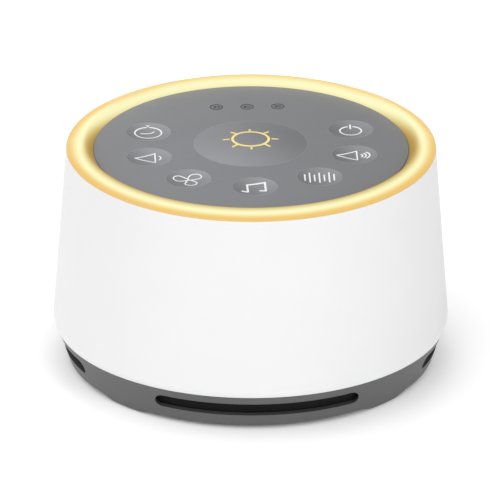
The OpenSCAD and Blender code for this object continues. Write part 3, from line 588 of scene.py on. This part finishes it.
def print_on(name, node, strokes, ink, body, centre=None):
    """A printed symbol: each stroke is (path in mm about the middle of the node, width in mm)."""
    surface = Surface(node)
    middle = Vector(centre) if centre else surface.middle
    corners = []
    faces = []
    for index, (path, width) in enumerate(strokes):
        sections, closed = stroke_sections(path, width)
        rise = PRINT_RISE + PRINT_STEP * index
        first = len(corners)
        for left, right in sections:
            for side in (left, right):
                x = middle.x + side.x * MM
                y = middle.y + side.y * MM
                z = surface.height(x, y)
                corners.append((x, y, z + rise))
                corners.append((x, y, z - PRINT_SINK))
        count = len(sections)
        for i in range(count if closed else count - 1):
            a = first + 4 * i
            b = first + 4 * ((i + 1) % count)
            faces.append((a, a + 2, b + 2, b))
            faces.append((a + 1, b + 1, b + 3, a + 3))
            faces.append((a, b, b + 1, a + 1))
            faces.append((a + 2, a + 3, b + 3, b + 2))
        if not closed:
            last = first + 4 * (count - 1)
            faces.append((first, first + 1, first + 3, first + 2))
            faces.append((last, last + 2, last + 3, last + 1))
    mesh = bpy.data.meshes.new(name)
    mesh.from_pydata(corners, [], faces)
    mesh.validate()
    mesh.materials.append(ink.material)
    piece = bpy.data.objects.new(name, mesh)
    bpy.context.scene.collection.objects.link(piece)
    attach(piece, body)


# ---- symbols -----------------------------------------------------------------------------

# all in mm: places about the middle of the key, and line widths
SUN_RING = 4.95
SUN_LINE = 0.72
SUN_BACK = 0.9
SUN_RAY_LINE = 0.60
# (angle, start, end) of each ray
SUN_RAYS = [
    (0, 5.95, 7.30),
    (45, 5.30, 7.10),
    (90, 6.05, 6.65),
    (135, 5.30, 7.10),
    (180, 5.95, 7.30),
    (225, 5.30, 7.10),
    (270, 6.05, 6.65),
    (315, 5.30, 7.10),
]
sun = [(arc((0, SUN_BACK), SUN_RING, 0, 360, 96), SUN_LINE)]
for turn, inner, outer in SUN_RAYS:
    ray = turned(line((inner, 0), (outer, 0)), turn)
    sun.append(([p + Vector((0, SUN_BACK)) for p in ray], SUN_RAY_LINE))
print_on("sun_symbol", "key_light", sun, sun_print, "light_key")

MUSIC_LINE = 0.55
MUSIC_BEAM_LINE = 0.62
MUSIC_FOOT_LINE = 0.75
music = [
    (line((-2.05, 1.9), (-1.95, -2.9)), MUSIC_LINE),
    (line((2.80, 3.1), (2.90, -2.3)), MUSIC_LINE),
    (line((-2.05, 1.9), (2.80, 3.1)), MUSIC_BEAM_LINE),
    (line((-3.4, -2.6), (-2.05, -2.95)), MUSIC_FOOT_LINE),
    (line((1.45, -2.05), (2.80, -2.35)), MUSIC_FOOT_LINE),
]
print_on("music_symbol", "key_music", music, white_print, "music_key")

THIN_LINE = 0.36
BLADE_TURNS = (36, 156, 276)
BLADE = line((0, 0), (1.1, 1.35), (2.5, 1.95), (3.85, 1.3), (4.15, -0.2), (3.2, -1.25), (1.7, -0.95))
fan = [(spline(turned(BLADE, turn), closed=True), THIN_LINE) for turn in BLADE_TURNS]
print_on("fan_symbol", "key_fan", fan, white_print, "fan_key")

MARK_LINE = 0.42
BAR_PITCH = 1.32
LONG_BAR_HALF = 3.1
SHORT_BAR_HALF = 1.95
noise_bars = []
for i in range(-3, 4):
    half_bar = LONG_BAR_HALF if i % 2 == 0 else SHORT_BAR_HALF
    noise_bars.append((line((i * BAR_PITCH, -half_bar), (i * BAR_PITCH, half_bar)), MARK_LINE))
print_on("noise_symbol", "key_noise", noise_bars, white_print, "noise_key")

SPEAKER_TOP = (1.9, 3.0)
SPEAKER_LOW = (1.9, -3.0)
SPEAKER_TIP = (-3.6, 0.0)
SPEAKER_BACK_LINE = 0.40
speaker_mark = [
    (line(SPEAKER_TIP, SPEAKER_TOP), THIN_LINE),
    (line(SPEAKER_TOP, SPEAKER_LOW), SPEAKER_BACK_LINE),
    (line(SPEAKER_LOW, SPEAKER_TIP), THIN_LINE),
]


def moved(strokes, shift):
    """The strokes moved along X."""
    return [([p + Vector((shift, 0)) for p in path], width) for path, width in strokes]


DOWN_SHIFT = -0.3
DOWN_ARC_X = 1.4
DOWN_ARC_R = 1.75
DOWN_ARC_HALF_TURN = 42
volume_down = moved(speaker_mark, DOWN_SHIFT)
down_arc = arc((DOWN_ARC_X, 0), DOWN_ARC_R, -DOWN_ARC_HALF_TURN, DOWN_ARC_HALF_TURN, 12)
volume_down.append((down_arc, THIN_LINE))
print_on(
    "volume_down_symbol", "key_volume_down", volume_down, white_print, "volume_down_key"
)

UP_SHIFT = -1.2
# (X of the middle, radius) of each arc
UP_ARCS = [(1.2, 1.05), (1.45, 1.75), (1.7, 2.5)]
UP_ARC_HALF_TURN = 50
UP_ARC_LINE = 0.40
volume_up = moved(speaker_mark, UP_SHIFT)
for middle_x, radius in UP_ARCS:
    up_arc = arc((middle_x, 0), radius, -UP_ARC_HALF_TURN, UP_ARC_HALF_TURN, 16)
    volume_up.append((up_arc, UP_ARC_LINE))
print_on("volume_up_symbol", "key_volume_up", volume_up, white_print, "volume_up_key")

TIMER_R = 3.65
STEM_LOW = TIMER_R + 0.25
STEM_TOP = TIMER_R + 0.65
TICK_TOP = TIMER_R + 1.15
TICK_OUT = 0.4
STEM_LINE = 0.24
TICK_LINE = 0.22
timer = [
    (arc((0, 0), TIMER_R, 98, 442, 80), MARK_LINE),
    (line((0, STEM_LOW), (0, STEM_TOP)), STEM_LINE),
    (line((0, STEM_TOP), (-TICK_OUT, TICK_TOP)), TICK_LINE),
    (line((0, STEM_TOP), (TICK_OUT, TICK_TOP)), TICK_LINE),
    (line((-2.0, -0.2), (0.0, -0.25)), THIN_LINE),
    (spline([(0.0, -0.25), (0.9, 0.15), (1.6, 0.95)]), THIN_LINE),
]
print_on("timer_symbol", "key_timer", timer, white_print, "timer_key")

POWER_R = 2.95
POWER_BAR_LINE = 0.46
power = [
    (arc((0, -0.25), POWER_R, 106, 434, 70), MARK_LINE),
    (line((0, 1.35), (0, 3.55)), POWER_BAR_LINE),
]
print_on("power_symbol", "key_power", power, white_print, "power_key")

# digits, 1 wide and 2 high about their own middle
THREE = [(-0.9, 0.75), (0.0, 1.05), (0.9, 0.55), (0.05, 0.05), (0.95, -0.5), (0.0, -1.05), (-0.95, -0.7)]
SIX = [
    (0.75, 0.95),
    (-0.2, 0.85),
    (-0.95, -0.1),
    (-0.6, -0.9),
    (0.25, -1.05),
    (0.95, -0.5),
    (0.3, 0.1),
    (-0.85, -0.2),
]
DIGITS = {"0": [arc((0, 0), 1.0, 0, 360, 40)], "3": [spline(THREE)], "6": [spline(SIX)]}
DIGITS["9"] = [turned(DIGITS["6"][0], 180)]
DIGIT_HALF_WIDTH = 0.36
DIGIT_HALF_HEIGHT = 0.66
DIGIT_STEP = 0.52
DIGIT_LINE = 0.15
WINDOW_LINE = 0.27
WINDOW_FLANGE_R = 2.6
WINDOW_R = 1.9
WINDOW_EDGE = 0.03


def number(text):
    """The strokes of a number, its digits side by side."""
    strokes = []
    for index, digit in enumerate(text):
        shift = DIGIT_STEP * (2 * index - len(text) + 1)
        for path in DIGITS[digit]:
            sized = [Vector((shift + p.x * DIGIT_HALF_WIDTH, p.y * DIGIT_HALF_HEIGHT)) for p in path]
            strokes.append((sized, DIGIT_LINE))
    return strokes


windows_low, windows_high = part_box("timer_windows")
windows_y = (windows_low.y + windows_high.y) / 2
window_reach = (windows_high.x - windows_low.x) / 2 - WINDOW_FLANGE_R * MM
for side, text in ((-1, "30"), (0, "60"), (1, "90")):
    marks = [(arc((0, 0), WINDOW_R - WINDOW_LINE / 2 - WINDOW_EDGE, 0, 360, 64), WINDOW_LINE)]
    marks += number(text)
    print_on(
        f"timer_mark_{text}",
        "timer_windows",
        marks,
        dark_print,
        "housing",
        centre=(side * window_reach, windows_y, 0.0),
    )


# ---- stage, light and camera -------------------------------------------------------------


def flat_sheet(name, size, height, finish):
    """A square sheet, level at a height."""
    half = size / 2
    mesh = bpy.data.meshes.new(name)
    mesh.from_pydata(
        [(-half, -half, height), (half, -half, height), (half, half, height), (-half, half, height)],
        [],
        [(0, 1, 2, 3)],
    )
    mesh.materials.append(finish.material)
    sheet = bpy.data.objects.new(name, mesh)
    bpy.context.scene.collection.objects.link(sheet)
    return sheet


floor_white = moulded(
    "floor_white", (0.90, 0.90, 0.90), 0.9, mottle=0.002, grain=400.0, relief=0.02, specular=0.0
)
floor_white.set("Emission Color", WHITE)
# even glow over the floor, taken away near the axis: a painted contact shadow round the base
from_axis = floor_white.length(floor_white.place)
glow_range_past_painted_shadow = (FLOOR_GLOW_STARTS, FLOOR_GLOW_FULL)
floor_glow_with_painted_shadow = floor_white.mapped(from_axis, glow_range_past_painted_shadow, (0.0, FLOOR_GLOW), smooth=True)
floor_white.link(floor_glow_with_painted_shadow, floor_white.surface.inputs["Emission Strength"])
flat_sheet("floor", FLOOR_SIZE, 0.0, floor_white)


def soft_light(name, place, size, power):
    """A round white area light that is aimed at the body."""
    data = bpy.data.lights.new(name, "AREA")
    data.shape = "DISK"
    data.size = size
    data.energy = power
    lamp = bpy.data.objects.new(name, data)
    lamp.location = place
    lamp.rotation_euler = (Vector(LIGHT_AIM) - Vector(place)).to_track_quat("-Z", "Y").to_euler()
    bpy.context.scene.collection.objects.link(lamp)


soft_light("left_softbox", LEFT_LIGHT_PLACE, LEFT_LIGHT_SIZE, LEFT_LIGHT_POWER)
soft_light("front_softbox", FRONT_LIGHT_PLACE, FRONT_LIGHT_SIZE, FRONT_LIGHT_POWER)
soft_light("right_softbox", RIGHT_LIGHT_PLACE, RIGHT_LIGHT_SIZE, RIGHT_LIGHT_POWER)
soft_light("rear_softbox", REAR_LIGHT_PLACE, REAR_LIGHT_SIZE, REAR_LIGHT_POWER)

world = bpy.data.worlds.new("studio")
bpy.context.scene.world = world
world.use_nodes = True
world.node_tree.nodes.clear()
sky = Nodes(world.node_tree)
# the camera sees plain white, and the fill falls from the left to the right and to the rear
seen = sky.node("ShaderNodeBackground")
fill = sky.node("ShaderNodeBackground")
seen.inputs["Color"].default_value = WHITE
fill.inputs["Color"].default_value = WHITE
seen.inputs["Strength"].default_value = 1.0
direction = sky.parts(sky.node("ShaderNodeTexCoord").outputs["Generated"])
side_fill = sky.mapped(direction["X"], (-1.0, 1.0), (WORLD_FILL_LEFT, WORLD_FILL_RIGHT))
rear_share = sky.mapped(direction["Y"], (0.0, WORLD_REAR_REACH), (1.0, WORLD_REAR_SHARE))
sky.link(sky.maths("MULTIPLY", side_fill, rear_share), fill.inputs["Strength"])
choice = sky.node("ShaderNodeMixShader")
sky.link(sky.node("ShaderNodeLightPath").outputs["Is Camera Ray"], choice.inputs["Fac"])
sky.link(fill.outputs["Background"], choice.inputs[1])
sky.link(seen.outputs["Background"], choice.inputs[2])
world_out = sky.node("ShaderNodeOutputWorld")
sky.link(choice.outputs["Shader"], world_out.inputs["Surface"])

azimuth = math.radians(CAMERA_AZIMUTH)
elevation = math.radians(CAMERA_ELEVATION)
rightward = Vector((math.cos(azimuth), math.sin(azimuth), 0.0))
backward = Vector(
    (
        math.sin(azimuth) * math.cos(elevation),
        -math.cos(azimuth) * math.cos(elevation),
        math.sin(elevation),
    )
)
target = rightward * TARGET_RIGHT + Vector((0.0, 0.0, TARGET_HEIGHT))
camera_data = bpy.data.cameras.new("photo_camera")
camera_data.lens = CAMERA_LENS
camera_data.sensor_width = SENSOR_WIDTH
camera_data.clip_start = CLIP_NEAR
camera_data.clip_end = CLIP_FAR
camera = bpy.data.objects.new("photo_camera", camera_data)
camera.location = target + backward * CAMERA_DISTANCE
facing = (-backward).to_track_quat("-Z", "Y")
camera.rotation_euler = facing.to_euler()
camera.rotation_euler.rotate_axis("Z", math.radians(CAMERA_ROLL))
bpy.context.scene.collection.objects.link(camera)
bpy.context.scene.camera = camera
bpy.context.scene.view_settings.view_transform = "Standard"
